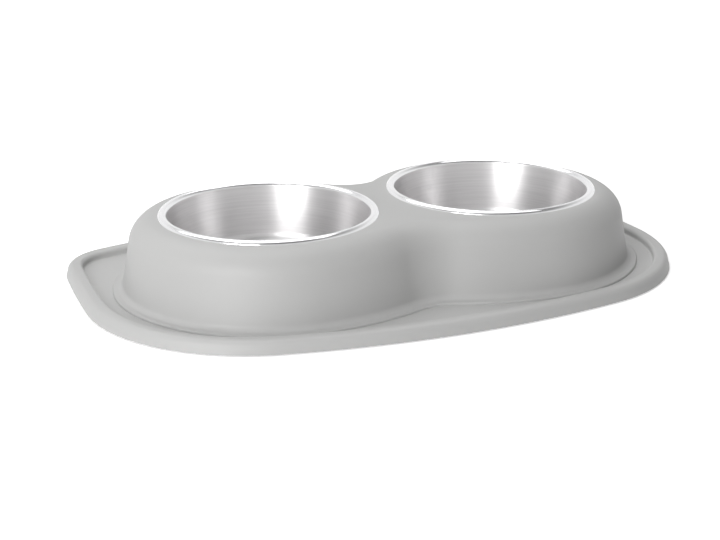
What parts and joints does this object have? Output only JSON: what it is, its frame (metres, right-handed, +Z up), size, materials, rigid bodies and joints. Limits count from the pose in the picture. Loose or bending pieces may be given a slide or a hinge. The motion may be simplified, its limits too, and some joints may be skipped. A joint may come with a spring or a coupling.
{
  "type": "double pet bowl",
  "caption": "Moulded pet feeder stand: a raised, waisted riser on a lipped drip mat with rubber feet holds lift-out round steel bowls side by side by their rolled rims.",
  "frame": {"origin": "on the ground, in the middle of the stand's length and width", "axes": "+X along the line of the bowls, to the right seen from the front; +Y to the rear, where the mat's corners are tighter; +Z up"},
  "size_m": [0.469, 0.2949, 0.0618],
  "materials": {
    "stand_plastic": "light grey, fine moulded texture",
    "bowl_steel": "round brushed inside, polished rim",
    "foot_rubber": "matt"
  },
  "bodies": {
    "stand": {"feeder_stand": "stand_plastic", "front_left_foot": "foot_rubber", "front_middle_foot": "foot_rubber", "front_right_foot": "foot_rubber", "rear_left_foot": "foot_rubber", "rear_middle_foot": "foot_rubber", "rear_right_foot": "foot_rubber"},
    "left_bowl_body": {"left_bowl": "bowl_steel"},
    "right_bowl_body": {"right_bowl": "bowl_steel"}
  },
  "joints": [
    {"name": "left_bowl_lift", "type": "slide", "parent": "stand", "child": "left_bowl_body", "axis": [0, 0, 1], "range_m": [0, 0.06]},
    {"name": "right_bowl_lift", "type": "slide", "parent": "stand", "child": "right_bowl_body", "axis": [0, 0, 1], "range_m": [0, 0.06]}
  ]
}
